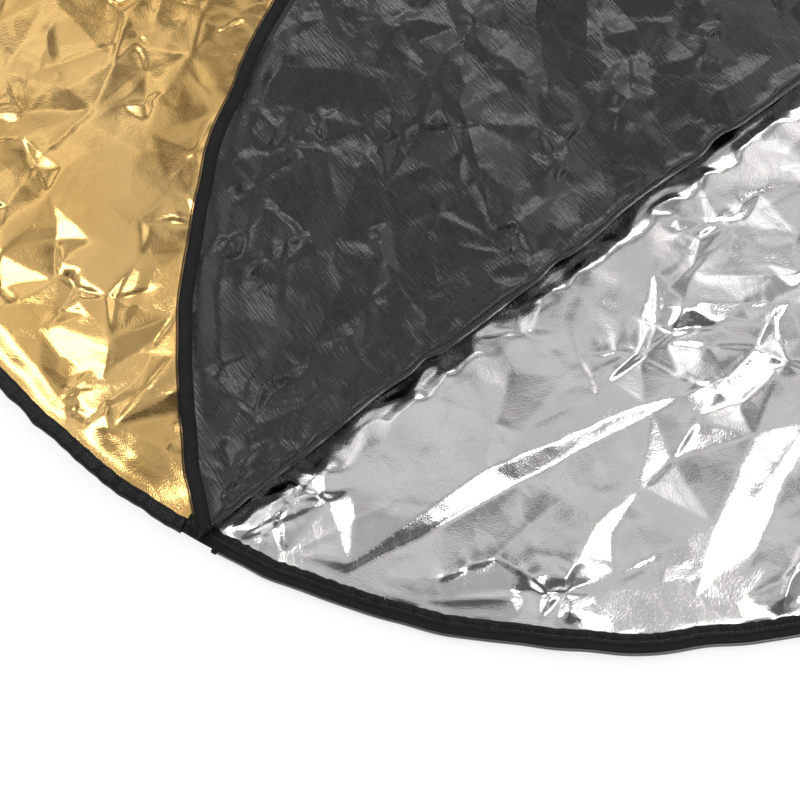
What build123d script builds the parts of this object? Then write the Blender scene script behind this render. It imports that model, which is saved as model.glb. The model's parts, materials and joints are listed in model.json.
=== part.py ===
from build123d import *
import math
import os

# Zip-round reversible reflector sleeve, unzipped and folded half open, lying on the framed
# diffuser disc that it covers in use. Millimetres, +Z up, origin under the disc's centre on the
# surface that it lies on. "Lower" is the silver and white panel, "upper" the gold and black one.

os.makedirs("parts", exist_ok=True)

# ---- sleeve ----
disc_radius = 550.0           # outer radius of the sleeve: the teeth, and the bound seam's edge
ply = 0.3                     # one layer of foil or cloth
panel_spacing = 4.0           # middle of the lower panel to middle of the upper one, zipped
running_clearance = 0.3       # between pieces that move past each other

# ---- fold of the upper panel ----
fold_distance = 207.0         # disc centre to the line where the upper panel turns up
fold_heading = -51.3          # direction of that line's outward normal, degrees from +X
fold_width = 10.0             # band of cloth that stands up in the fold

# ---- zip ----
coil_width = 2.5              # radial
coil_height = 1.4
tape_width = 7.5              # bare tape between the panel's edge and the coil
tape_thickness = 0.5
tape_tail = 10.0              # tape past the fold's visible corner, tucked into the seam
closed_length = 38.0          # zip past the fold's far end that stays closed
stop_length = 3.0
stop_wall = 0.4
tape_end = 2.0                # tape beyond the bottom stop

# ---- bindings ----
binding_thickness = 0.8
binding_cover = 4.0           # how far a binding laps over the panel
binding_lap = 3.5             # how far it laps over the zip tape
seam_width = 10.0             # bound seam, radial
seam_web = 1.2

# ---- framed diffuser ----
hem_inset = 16.0              # hem's outside to the sleeve's rim
hem_radius = disc_radius - hem_inset
hem_height = 7.0
hem_width = 14.0
hem_wall = 0.8
hem_flat = 4.0                # width of the flat face that the hem rests on
hem_edge = 1.8                # height of the hem where it grips the diffuser
diffuser_thickness = 0.6
diffuser_grip = 8.6           # how far the diffuser reaches into the hem
band_thickness = 0.8
band_height = 4.4
band_offset = 1.4             # hem's outside to the band's outside
band_gap_deg = 0.05           # half the slit between the band's butted ends
ferrule_length = 22.0
ferrule_wall = 0.4
ferrule_angle = 90.0

# ---- slider and pull ----
slider_length = 11.0
slider_wall = 1.1
flange_wall = 1.0
flange_lap = 0.4              # flange past the coil, towards the disc
mouth_round = 2.2
tail_round = 1.2
post_length = 6.5
bridge_length = 8.0
bridge_width = 1.8
bridge_wall = 1.3
pivot_radius = 0.8
pull_thickness = 1.2
pull_length = 26.0
pull_neck = 4.8
pull_end_width = 7.5
yoke_reach = 5.4              # pivot to the end of the pull's window
pull_hole = 1.6
pull_hole_inset = 4.5

# ---- levels ----
lower_level = hem_height + running_clearance + ply
upper_level = lower_level + panel_spacing
middle_level = (lower_level + upper_level) / 2

# ---- radii ----
coil_inner = disc_radius - coil_width
panel_edge = coil_inner - tape_width
binding_inner = panel_edge - binding_cover
binding_outer = panel_edge + binding_lap
seam_inner = disc_radius - seam_width
seam_panel_edge = disc_radius - seam_web


def rim_degrees(length):
    """Angle that a length along the rim takes, seen from the disc's centre."""
    return math.degrees(length / disc_radius)


# ---- angles round the rim ----
half_fold = math.degrees(math.acos(fold_distance / disc_radius))
flap_coil_start = fold_distance + fold_width + coil_height / 2 + running_clearance
half_flap = math.degrees(math.acos(flap_coil_start / coil_inner))
zip_start = fold_heading - half_fold - rim_degrees(tape_tail)
zip_end = fold_heading + half_fold + rim_degrees(closed_length)
bottom_stop_end = zip_end - rim_degrees(tape_end)
bottom_stop_start = bottom_stop_end - rim_degrees(stop_length)
top_stop_start = fold_heading - half_flap + rim_degrees(running_clearance)
top_stop_end = top_stop_start + rim_degrees(stop_length)
slider_reach = rim_degrees(slider_length / 2 + running_clearance)
slider_parked = bottom_stop_start - slider_reach
slider_travel = slider_parked - slider_reach - top_stop_end


def ring_sector(inner, outer, start, end):
    """Flat band between two radii, from one angle to another, counter-clockwise."""
    inside = CenterArc((0, 0), inner, start, end - start)
    outside = CenterArc((0, 0), outer, start, end - start)
    return make_face([inside, outside, Line(inside @ 0, outside @ 0), Line(inside @ 1, outside @ 1)])


def slab(outline, bottom, top):
    """Upright solid on a flat outline."""
    return extrude(Pos(0, 0, bottom) * outline, amount=top - bottom)


def on_level(outline, level, below, above):
    """Solid that reaches a distance below and above one of the sleeve's panels."""
    return slab(outline, level - below, level + above)


def across_fold(near, far):
    """Everything between two distances from the disc's centre, along the fold's normal."""
    band = Pos((near + far) / 2, 0) * Rectangle(far - near, 3 * disc_radius)
    return Rot(0, 0, fold_heading) * band


def write(name, shape):
    """Write one sub-part, named, as its own STEP file."""
    solids = shape.solids()
    piece = solids[0] if len(solids) == 1 else Compound(children=list(solids))
    piece.label = name
    export_step(piece, f"parts/{name}.step")
    return piece


# ---- the sleeve's outlines, zipped flat ----
zip_panel = Circle(panel_edge)
seam_strip = ring_sector(panel_edge - ply, seam_panel_edge, zip_end, zip_start + 360)
panel_outline = zip_panel + seam_strip
tape_outline = ring_sector(panel_edge, coil_inner, zip_start, zip_end)
coil_outline = ring_sector(coil_inner, disc_radius, top_stop_start, bottom_stop_end)
binding_outline = ring_sector(binding_inner, binding_outer, zip_start, zip_end)

half_tape = tape_thickness / 2
half_coil = coil_height / 2

# ---- lower panel, and the zip half on it ----
write("white_sheet", on_level(panel_outline, lower_level, ply, 0))
write("silver_sheet", on_level(panel_outline, lower_level, 0, ply))
write("lower_zip_tape", on_level(tape_outline - zip_panel, lower_level, half_tape, half_tape))
lower_coil = on_level(coil_outline, lower_level, half_coil, half_coil)
write("lower_zip_coil", lower_coil)
write("silver_edge_binding", on_level(binding_outline, lower_level + ply, 0, binding_thickness))
write("white_edge_binding", on_level(binding_outline, lower_level - ply, binding_thickness, 0))

# ---- bound seam round the closed part of the rim ----
seam_outline = ring_sector(seam_inner, disc_radius, zip_end, zip_start + 360)
seam_slot = ring_sector(seam_inner - seam_web, seam_panel_edge, zip_end, zip_start + 360)
seam_bottom = lower_level - ply
seam_top = upper_level + ply
seam_binding = slab(seam_outline, seam_bottom - binding_thickness, seam_top + binding_thickness)
seam_binding -= slab(seam_slot, seam_bottom, seam_top)
write("seam_binding", seam_binding)

# ---- upper panel: fixed part, standing band of the fold, and folded flap ----
fold_line = (fold_distance, fold_distance + fold_width)


def regions(gap):
    """Fixed part, fold and flap, each cut back from the hinge lines by a gap."""
    return {
        "": across_fold(-2 * disc_radius, fold_line[0] - gap),
        "fold_": across_fold(fold_line[0] + gap, fold_line[1] - gap),
        "flap_": across_fold(fold_line[1] + gap, 2 * disc_radius),
    }


layers = {
    "gold_sheet": (panel_outline, 0, ply),
    "black_lining": (panel_outline, ply, 0),
    "zip_tape": (tape_outline, half_tape, half_tape),
    "zip_coil": (coil_outline, half_coil, half_coil),
    "gold_edge_binding": (binding_outline, -ply, ply + binding_thickness),
}
# Names of the short lengths of zip that stay on the fixed part of the panel.
fixed_names = {"zip_tape": "upper_zip_tape", "zip_coil": "upper_zip_coil"}

heading = math.radians(fold_heading)
fold_normal = Vector(math.cos(heading), math.sin(heading), 0)
fold_axis = Vector(-math.sin(heading), math.cos(heading), 0)


def hinge(distance):
    """Hinge line across the upper panel, at a distance from the disc's centre."""
    return Axis(fold_normal * distance + Vector(0, 0, upper_level), fold_axis)


def fold_open(region, shape):
    """Turn a piece of the zipped panel to its place in the open fold."""
    if region == "flap_":
        shape = shape.rotate(hinge(fold_line[1]), -90)
    if region:
        shape = shape.rotate(hinge(fold_line[0]), -90)
    return shape


# Each layer stops short of a hinge line by its own height over it, so the fold closes.
for layer, (outline, below, above) in layers.items():
    for region, area in regions(above + running_clearance).items():
        shape = on_level(outline & area, upper_level, below, above)
        name = region + layer if region else fixed_names.get(layer, layer)
        write(name, fold_open(region, shape))

# ---- stops ----
stop_outline = ring_sector(coil_inner - stop_wall, disc_radius + stop_wall, top_stop_start, top_stop_end)
stop_bite = ring_sector(coil_inner - 2 * stop_wall, disc_radius, top_stop_start, top_stop_end)
stop_block = half_coil + stop_wall


def top_stop(level):
    """Metal clip bent round the coil's edge, open towards the tape."""
    clip = on_level(stop_outline, level, stop_block, stop_block)
    return clip - on_level(stop_bite, level, half_coil, half_coil)


write("lower_top_stop", top_stop(lower_level))
write("flap_top_stop", fold_open("flap_", top_stop(upper_level)))

bottom_outline = ring_sector(
    coil_inner - stop_wall, disc_radius + stop_wall, bottom_stop_start, bottom_stop_end
)
bottom_bite = ring_sector(coil_inner - 2 * stop_wall, disc_radius, bottom_stop_start, bottom_stop_end)
bottom_stop = slab(bottom_outline, lower_level - stop_block, upper_level + stop_block)
for level in (lower_level, upper_level):
    bottom_stop -= on_level(bottom_bite, level, half_coil, half_coil)
write("bottom_stop", bottom_stop)

# ---- framed diffuser ----
hem_middle = hem_height / 2
hem_inner = hem_radius - hem_width
hem_bend = hem_radius - hem_flat
band_outer = hem_radius - band_offset
band_inner = band_outer - band_thickness
cavity_outer = hem_radius - hem_wall
cavity_inner = band_inner - hem_wall
grip_end = hem_inner + diffuser_grip + running_clearance


def hem_half(side):
    """Section of one half of the hem, over (+1) or under (-1) the diffuser."""
    corners = [
        (hem_radius, hem_middle),
        (hem_radius, hem_middle + side * hem_middle),
        (hem_bend, hem_middle + side * hem_middle),
        (hem_inner, hem_middle + side * hem_edge / 2),
        (hem_inner, hem_middle + side * diffuser_thickness / 2),
        (grip_end, hem_middle + side * diffuser_thickness / 2),
        (cavity_inner, hem_middle + side * (hem_middle - hem_wall)),
        (cavity_outer, hem_middle + side * (hem_middle - hem_wall)),
        (cavity_outer, hem_middle),
    ]
    return make_face(Polyline(*corners, close=True))


hem_section = hem_half(1) + hem_half(-1)
write("diffuser_hem", revolve(Plane.XZ * hem_section, Axis.Z, 360))
diffuser_outline = Circle(hem_inner + diffuser_grip)
half_diffuser = diffuser_thickness / 2
write("diffuser_panel", on_level(diffuser_outline, hem_middle, half_diffuser, half_diffuser))

band_start = ferrule_angle + band_gap_deg
band_end = ferrule_angle + 360 - band_gap_deg
band_outline = ring_sector(band_inner, band_outer, band_start, band_end)
write("hoop_band", on_level(band_outline, hem_middle, band_height / 2, band_height / 2))
ferrule_half = math.degrees(ferrule_length / 2 / band_outer)
ferrule_span = (ferrule_angle - ferrule_half, ferrule_angle + ferrule_half)
ferrule_outline = ring_sector(band_inner - ferrule_wall, band_outer + ferrule_wall, *ferrule_span)
ferrule_bore = ring_sector(band_inner, band_outer, *ferrule_span)
ferrule_height = band_height / 2 + ferrule_wall
ferrule = on_level(ferrule_outline, hem_middle, ferrule_height, ferrule_height)
ferrule -= on_level(ferrule_bore, hem_middle, band_height / 2, band_height / 2)
write("hoop_ferrule", ferrule)

# ---- slider, drawn at angle 0: X is out from the rim, Y along it, towards the bottom stop ----
wing_inside = disc_radius + running_clearance
wing_outside = wing_inside + slider_wall
half_wing = (upper_level - lower_level) / 2 + half_coil + running_clearance + flange_wall
half_post = (upper_level - lower_level) / 2 - half_coil - running_clearance
half_inner_wing = (upper_level - lower_level) / 2 - half_tape - running_clearance
inner_wing_outside = coil_inner - running_clearance
inner_wing_inside = inner_wing_outside - slider_wall


def facing_out(outline, inside, outside):
    """Solid on an outline drawn along the rim (X) and upwards (Y), between two radii."""
    plane = Plane(origin=(inside, 0, middle_level), x_dir=(0, 1, 0), z_dir=(1, 0, 0))
    return extrude(plane * outline, amount=outside - inside)


wing_outline = Rectangle(slider_length, 2 * half_wing)
wing_outline = fillet(wing_outline.vertices().group_by(Axis.X)[0], mouth_round)
wing_outline = fillet(wing_outline.vertices().group_by(Axis.X)[-1], tail_round)
flange_strips = Pos(0, half_wing) * Rectangle(2 * slider_length, 2 * flange_wall)
flange_strips += Pos(0, -half_wing) * Rectangle(2 * slider_length, 2 * flange_wall)
diamond = make_face(
    Polyline(
        (-slider_length / 2, 0),
        (-slider_length / 2 + half_post, half_post),
        (-slider_length / 2 + post_length - half_post, half_post),
        (-slider_length / 2 + post_length, 0),
        (-slider_length / 2 + post_length - half_post, -half_post),
        (-slider_length / 2 + half_post, -half_post),
        close=True,
    )
)
inner_wing_outline = RectangleRounded(slider_length, 2 * half_inner_wing, half_inner_wing / 2)

slider_body = facing_out(wing_outline, wing_inside, wing_outside)
slider_body += facing_out(wing_outline & flange_strips, coil_inner - flange_lap, wing_inside)
slider_body += facing_out(diamond, inner_wing_outside, wing_inside)
slider_body += facing_out(inner_wing_outline, inner_wing_inside, inner_wing_outside)

# ---- bridge over the slider, and the pull in it ----
eye_half = pivot_radius + running_clearance
pivot_x = wing_outside + eye_half
half_bridge = bridge_length / 2
arch = make_face(
    Polyline(
        (wing_outside, -half_bridge),
        (pivot_x, -half_bridge),
        (pivot_x + eye_half + bridge_wall, -half_bridge + eye_half + bridge_wall),
        (pivot_x + eye_half + bridge_wall, half_bridge - eye_half - bridge_wall),
        (pivot_x, half_bridge),
        (wing_outside, half_bridge),
        close=True,
    )
)
eye = Pos(pivot_x, 0) * Rectangle(2 * eye_half, bridge_length - 2 * bridge_wall)
arch -= eye
slider_bridge = on_level(arch, middle_level, bridge_width / 2, bridge_width / 2)


def pull_outline():
    """Pull seen from outside the rim: X along the rim from the pivot, Y up."""
    neck = pull_neck / 2
    end = pull_end_width / 2
    plate = make_face(
        Polyline((-pivot_radius, -neck), (yoke_reach, -neck), (pull_length - end, -end),
                 (pull_length - end, end), (yoke_reach, neck), (-pivot_radius, neck), close=True)
    )
    plate += Pos(pull_length - end, 0) * Circle(end)
    window_length = yoke_reach - pivot_radius
    window_width = bridge_width + 2 * running_clearance
    plate -= Pos(pivot_radius + window_length / 2, 0) * Rectangle(window_length, window_width)
    plate -= Pos(pull_length - pull_hole_inset, 0) * Circle(pull_hole)
    return plate


pull_plate = facing_out(pull_outline(), pivot_x - pull_thickness / 2, pivot_x + pull_thickness / 2)
pivot_plane = Plane(origin=(pivot_x, 0, middle_level - pull_neck / 2))
pivot_bar = extrude(pivot_plane * Circle(pivot_radius), amount=pull_neck)
pull_tab = pull_plate + pivot_bar

parked = Rot(0, 0, slider_parked)
write("slider_body", parked * slider_body)
write("slider_bridge", parked * slider_bridge)
write("pull_tab", parked * pull_tab)

print("slider parked at", round(slider_parked, 3), "travel", round(slider_travel, 3))
print("pull pivot radius", round(pivot_x, 3), "hinge level", round(upper_level, 3))
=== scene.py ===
import json
import math

import bpy
import numpy as np
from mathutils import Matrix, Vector
from mathutils.geometry import delaunay_2d_cdt

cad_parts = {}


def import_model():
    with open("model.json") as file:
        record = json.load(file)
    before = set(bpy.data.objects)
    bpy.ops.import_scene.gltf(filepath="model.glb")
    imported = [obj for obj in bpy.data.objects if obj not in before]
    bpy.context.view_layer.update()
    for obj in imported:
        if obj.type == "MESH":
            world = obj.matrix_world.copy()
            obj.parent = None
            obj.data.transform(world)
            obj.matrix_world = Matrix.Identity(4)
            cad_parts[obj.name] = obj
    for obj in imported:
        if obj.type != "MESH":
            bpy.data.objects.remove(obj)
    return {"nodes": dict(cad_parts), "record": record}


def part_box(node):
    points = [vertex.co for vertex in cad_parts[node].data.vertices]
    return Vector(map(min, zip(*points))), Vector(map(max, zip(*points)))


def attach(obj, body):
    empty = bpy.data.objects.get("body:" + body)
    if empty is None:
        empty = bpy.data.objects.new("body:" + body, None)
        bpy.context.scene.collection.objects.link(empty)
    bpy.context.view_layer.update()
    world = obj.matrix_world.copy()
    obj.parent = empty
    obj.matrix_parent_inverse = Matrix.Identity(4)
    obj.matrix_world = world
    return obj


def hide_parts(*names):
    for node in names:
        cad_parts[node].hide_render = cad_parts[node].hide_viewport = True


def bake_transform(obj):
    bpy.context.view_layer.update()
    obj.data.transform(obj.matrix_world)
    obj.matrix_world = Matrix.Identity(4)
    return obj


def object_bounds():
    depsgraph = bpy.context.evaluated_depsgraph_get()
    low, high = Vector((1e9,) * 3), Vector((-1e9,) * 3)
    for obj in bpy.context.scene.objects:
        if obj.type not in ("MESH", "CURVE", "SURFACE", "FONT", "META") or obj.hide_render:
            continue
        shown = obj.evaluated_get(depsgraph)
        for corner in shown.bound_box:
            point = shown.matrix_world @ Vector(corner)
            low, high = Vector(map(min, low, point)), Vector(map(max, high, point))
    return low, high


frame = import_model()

CAD_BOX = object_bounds()
MM = 0.001

# ---------------------------------------------------------------- sizes, from the frame

JOINTS = {joint["name"]: joint for joint in frame["record"]["behaviour"]["joints"]}
FOLD_AXIS = np.array(JOINTS["fold_turn"]["axis"][:2])
FOLD_NORMAL = np.array([FOLD_AXIS[1], -FOLD_AXIS[0]])
FOLD_AT = float(np.array(JOINTS["fold_turn"]["pos_m"][:2]) @ FOLD_NORMAL)
UPPER_Z = JOINTS["fold_turn"]["pos_m"][2]
FOLD_HEIGHT = JOINTS["flap_turn"]["pos_m"][2] - UPPER_Z
LOWER_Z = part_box("silver_sheet")[0][2]
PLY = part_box("silver_sheet")[1][2] - LOWER_Z
HALF_PLY = PLY / 2

RIM = -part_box("seam_binding")[0][0]
HEM_R, _, HEM_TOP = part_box("diffuser_hem")[1]
COIL = 2.5 * MM                   # radial width of a zip coil
COIL_HEIGHT = 1.4 * MM
TAPE = 7.5 * MM                   # bare tape between the panel and the coil
PANEL = RIM - COIL - TAPE         # where a panel ends and its zip tape starts
SHEET = PANEL + 2 * MM            # the sheets end under their bindings
ROLL_ARC = math.pi / 2 * FOLD_HEIGHT
ROLL_START = FOLD_AT + FOLD_HEIGHT / 2 - ROLL_ARC / 2
ROLL_MIDDLE = ROLL_START + ROLL_ARC / 2
ROLL_END = ROLL_START + ROLL_ARC

PITCH = 1.3 * MM                  # zip teeth
CLOSED_ZIP = 38 * MM              # length of zip past the fold's far end
TAPE_TAIL = 10 * MM               # length of tape before the fold's near end
FIRST_TOOTH = 12.5 * MM           # past the fold's near end
LAST_TOOTH = 2 * MM               # short of the tape's far end
HEADING = math.atan2(FOLD_NORMAL[1], FOLD_NORMAL[0])
HALF_FOLD = math.acos(FOLD_AT / RIM)
ZIP_START = HEADING - HALF_FOLD - TAPE_TAIL / RIM
ZIP_END = HEADING + HALF_FOLD + CLOSED_ZIP / RIM
TEETH_START = HEADING - HALF_FOLD + FIRST_TOOTH / RIM
TEETH_END = ZIP_END - LAST_TOOTH / RIM


def plan(x, y):
    """Millimetres in the object's plane to metres along the fold's normal and along the fold."""
    point = np.array([x, y]) * MM
    return float(point @ FOLD_NORMAL), float(point @ FOLD_AXIS)


def world(u, v, z):
    """Panel coordinates to points in the frame."""
    x = u * FOLD_NORMAL[0] + v * FOLD_AXIS[0]
    y = u * FOLD_NORMAL[1] + v * FOLD_AXIS[1]
    return np.stack([x, y, np.broadcast_to(z, x.shape)], -1)


def smooth(t):
    t = np.clip(t, 0, 1)
    return t * t * (3 - 2 * t)


# ---------------------------------------------------------------- relief: the creases of a panel

CELL = 1.3 * MM                   # of the raster that holds a panel's heights
HALF = 0.56                       # half the raster's side
SIDE = int(round(2 * HALF / CELL)) + 1
BORDER = 0.6                      # where the facets round a panel come down to zero


def blurred(raster, width):
    """Gaussian blur of a raster, by a width in metres."""
    k = np.fft.fftfreq(SIDE) * 2 * math.pi
    kernel = np.exp(-0.5 * (k * width / CELL) ** 2)
    spectrum = np.fft.fft2(raster) * kernel[:, None] * kernel[None, :]
    return np.real(np.fft.ifft2(spectrum))


def window(low, high):
    """The part of the raster between two corners: its slices, and the places of its cells."""
    first = np.clip(np.floor((low + HALF) / CELL), 0, SIDE - 1).astype(int)
    last = np.clip(np.ceil((high + HALF) / CELL), 0, SIDE - 1).astype(int)
    us = np.arange(first[0], last[0] + 1)[:, None] * CELL - HALF
    vs = np.arange(first[1], last[1] + 1)[None, :] * CELL - HALF
    return (slice(first[0], last[0] + 1), slice(first[1], last[1] + 1)), us, vs


def facets(points, heights, lines=()):
    """Heights of flat facets between points; lines are pairs of point numbers that stay edges."""
    border = [(BORDER * a, BORDER * b) for a, b in ((-1, -1), (1, -1), (1, 1), (-1, 1))]
    flat = [Vector(p) for p in [*points, *border]]
    known = np.concatenate([heights, np.zeros(4)])
    coords, _, faces, origins = delaunay_2d_cdt(flat, list(lines), [], 0, 1e-5)[:4]
    xy = np.array([tuple(c) for c in coords])
    # A crossing of two lines is a new point: it takes the mean height of its neighbours.
    z = np.array([known[o[0]] if len(o) else np.nan for o in origins])
    for face in faces:
        for corner in face:
            if np.isnan(z[corner]):
                others = [z[c] for c in face if not np.isnan(z[c])]
                z[corner] = np.mean(others) if others else 0.0
    raster = np.zeros((SIDE, SIDE))
    for face in faces:
        a, b, c = xy[face[0]], xy[face[1]], xy[face[2]]
        area = (b[0] - a[0]) * (c[1] - a[1]) - (c[0] - a[0]) * (b[1] - a[1])
        if abs(area) < 1e-12:
            continue
        part, us, vs = window(np.minimum(np.minimum(a, b), c), np.maximum(np.maximum(a, b), c))
        du, dv = us - a[0], vs - a[1]
        s = (du * (c[1] - a[1]) - dv * (c[0] - a[0])) / area
        t = (dv * (b[0] - a[0]) - du * (b[1] - a[1])) / area
        inside = (s >= -1e-9) & (t >= -1e-9) & (s + t <= 1 + 1e-9)
        plane = z[face[0]] + s * (z[face[1]] - z[face[0]]) + t * (z[face[2]] - z[face[0]])
        raster[part][inside] = plane[inside]
    return raster


def scattered(rng, along, across, turn, keep_off=(), margin=0.0):
    """Random points over the panel, about one per cell of a turned grid, clear of given points."""
    reach = HALF * 1.45
    first = np.arange(-reach, reach, along)
    second = np.arange(-reach, reach, across)
    grid = np.stack(np.meshgrid(first, second, indexing="ij"), -1).reshape(-1, 2)
    grid += rng.uniform(-0.5, 0.5, grid.shape) * (along, across)
    c, n = math.cos(turn), math.sin(turn)
    grid = np.stack([grid[:, 0] * c - grid[:, 1] * n, grid[:, 0] * n + grid[:, 1] * c], -1)
    grid = grid[(np.abs(grid) < HALF).all(1)]
    if len(keep_off):
        keep = np.array(keep_off)
        gap = np.sqrt(((grid[:, None, :] - keep[None, :, :]) ** 2).sum(-1)).min(1)
        grid = grid[gap > margin]
    return grid


def line_samples(creases, step):
    """Points along the creases, to keep random ones off them."""
    found = []
    for crease in creases:
        for (u0, v0, _), (u1, v1, _) in zip(crease, crease[1:]):
            n = max(2, int(math.hypot(u1 - u0, v1 - v0) / step))
            found += [(u0 + (u1 - u0) * t, v0 + (v1 - v0) * t) for t in np.linspace(0, 1, n)]
    return found


def add_ridge(raster, start, end, height, left, right):
    """A sharp ridge between two points, that falls off over its own width on each side."""
    start, end = np.array(start), np.array(end)
    length = math.hypot(*(end - start))
    if length < CELL:
        return
    ahead = (end - start) / length
    margin = 4 * max(left, right)
    part, us, vs = window(np.minimum(start, end) - margin, np.maximum(start, end) + margin)
    us, vs = us - start[0], vs - start[1]
    forward = us * ahead[0] + vs * ahead[1]
    aside = us * -ahead[1] + vs * ahead[0]
    past = np.maximum(np.maximum(-forward, forward - length), 0)
    width = np.where(aside > 0, left, right)
    distance = np.hypot(aside, past)
    taper = 0.25 + 0.75 * smooth(np.minimum(forward, length - forward) / (0.35 * length) + 0.15)
    raster[part] += height * taper * np.exp(-distance / width)


def random_ridges(rng, raster, count, lengths, heights, widths, turn, spread, inside=None):
    """Short straight ridges scattered over the panel, mostly along one direction."""
    for _ in range(count):
        u, v = rng.uniform(-HALF, HALF, 2)
        if inside and not inside(u, v):
            continue
        heading = turn + rng.normal(0, spread)
        length = rng.uniform(*lengths)
        height = rng.uniform(*heights) * rng.choice((-1, 1), p=(0.35, 0.65))
        left, right = rng.uniform(*widths, 2)
        end = (u + length * math.cos(heading), v + length * math.sin(heading))
        add_ridge(raster, (u, v), end, height, left, right)


def relief(seed, creases, pleats, level, turn, big, middle, fine, swell, ridges, crisp=None):
    """A creased panel: its creases and pleats, among random facets of three sizes.

    level gives the mean height, and crisp how much stronger the smaller facets are, by the place
    along the fold's normal. Creases are sharpened with ridges, and pleats are not.
    """
    rng = np.random.default_rng(seed)
    points, heights, lines = [], [], []
    for crease in creases + pleats:
        for i, (u, v, h) in enumerate(crease):
            points.append((u, v))
            heights.append(h)
            if i:
                lines.append((len(points) - 2, len(points) - 1))
    away = line_samples(creases + pleats, 8 * MM)
    loose = scattered(rng, 96 * MM, 56 * MM, turn, away, 22 * MM)
    points += list(loose)
    heights = np.concatenate([heights, rng.normal(level(loose[:, 0]), big)])
    gain = crisp(np.arange(SIDE) * CELL - HALF)[:, None] if crisp else 1.0
    total = blurred(facets(points, heights, lines), 0.65 * MM)
    some = scattered(rng, 52 * MM, 28 * MM, turn + 0.5)
    total += gain * blurred(facets(some, rng.normal(0, middle, len(some))), 0.7 * MM)
    # Small facets come in patches, where the sheet was crushed.
    close = scattered(rng, 15 * MM, 10 * MM, turn - 0.4)
    patch = blurred(rng.normal(0, 1, (SIDE, SIDE)), 30 * MM)
    patch = smooth(0.35 + patch / (1.6 * patch.std()))
    total += gain * patch * blurred(facets(close, rng.normal(0, fine, len(close))), 0.6 * MM)
    wave = blurred(rng.normal(0, 1, (SIDE, SIDE)), 45 * MM)
    total += swell * wave / wave.std()
    sharp = np.zeros((SIDE, SIDE))
    for crease in creases:
        steep, gentle = rng.uniform(1.3, 1.8) * MM, rng.uniform(3.5, 9) * MM
        left, right = (steep, gentle) if rng.random() < 0.5 else (gentle, steep)
        size = rng.uniform(0.9, 1.5) * MM
        for start, end in zip(crease, crease[1:]):
            up = start[2] + end[2] > 2.4 * MM
            add_ridge(sharp, start[:2], end[:2], size if up else -0.8 * size, left, right)
    for settings in ridges:
        random_ridges(rng, sharp, *settings)
    return total + blurred(sharp, 0.55 * MM)


def sampled(raster, u, v):
    """Raster value at any place, between its four nearest cells."""
    i = np.clip((u + HALF) / CELL, 0, SIDE - 1.001)
    j = np.clip((v + HALF) / CELL, 0, SIDE - 1.001)
    i0, j0 = i.astype(int), j.astype(int)
    s, t = i - i0, j - j0
    top = raster[i0, j0] * (1 - s) + raster[i0 + 1, j0] * s
    bottom = raster[i0, j0 + 1] * (1 - s) + raster[i0 + 1, j0 + 1] * s
    return top * (1 - t) + bottom * t


def crumple(seed, spacing, turn, stretch, lengths, low, high, kept):
    """Creases of a crushed sheet: from scattered knots, ridges and valleys run out by turns.

    Across the direction turn they are shortened to the share stretch. low and high are the heights
    of valleys and ridges in millimetres, and kept says where creases may lie.
    """
    rng = np.random.default_rng(seed)
    creases = []
    along = np.array([math.cos(turn), math.sin(turn)])
    across = np.array([-math.sin(turn), math.cos(turn)])
    for knot in scattered(rng, *spacing, turn):
        raised = rng.random() < 0.5
        top = rng.uniform(*(high if raised else low))
        count = int(rng.integers(3, 6))
        first = rng.uniform(0, 2 * math.pi)
        for k in range(count):
            angle = first + 2 * math.pi * (k + rng.uniform(-0.3, 0.3)) / count
            length = rng.uniform(*lengths)
            way = length * (along * math.cos(angle) + across * math.sin(angle) * stretch)
            aside = rng.normal(0, 0.08) * np.array([-way[1], way[0]])
            side = rng.uniform(*(high if raised == (k % 2 == 0) else low))
            last = 0.4 * side + 0.3 * sum(high)
            crease = [(*knot, top), (*(knot + 0.5 * way + aside), side), (*(knot + way), last)]
            if all(kept(u, v) for u, v, _ in crease):
                creases.append([(u, v, h * MM) for u, v, h in crease])
    return creases


# The silver panel's two broad flat pleats, each by its two edges: x, y and height in millimetres.
# They were placed to follow the photograph.
SILVER_PLEATS = [
    [(-170, -495, 2.8), (-85, -435, 3.6), (20, -390, 2.8)],
    [(-175, -505, 0.4), (-60, -440, -0.6), (25, -395, 1.4)],
    [(35, -545, 0.8), (60, -470, 3.8), (90, -410, 3.4)],
    [(40, -545, 0.2), (80, -495, 0.4), (110, -435, 0.6)],
]

PINCHES = [(-60, 12), (-320, 10), (-210, 14)]       # v and half width of gathers in the fold

# Loose ridges: how many, and the ranges of their length, height and width. With each goes the
# direction that they mostly take, and how far they stray from it.
THIN = (420, (25 * MM, 120 * MM), (0.15 * MM, 0.7 * MM), (1.3 * MM, 4.5 * MM))
SOFT = (700, (10 * MM, 45 * MM), (0.4 * MM, 1.3 * MM), (1.8 * MM, 6.0 * MM))
FIXED_LEVEL, FLAP_LEVEL = 1.2 * MM, 2.4 * MM


def lower_level(u):
    return np.full_like(u, FIXED_LEVEL)


def upper_level(u):
    return np.where(u > ROLL_MIDDLE, FLAP_LEVEL, FIXED_LEVEL)


def upper_crisp(u):
    return np.where(u > ROLL_MIDDLE, 1.9, 1.0)


def on_fixed_part(u, v):
    return u < ROLL_START - 15 * MM


def on_flap_part(u, v):
    return u > ROLL_END + 6 * MM


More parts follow.
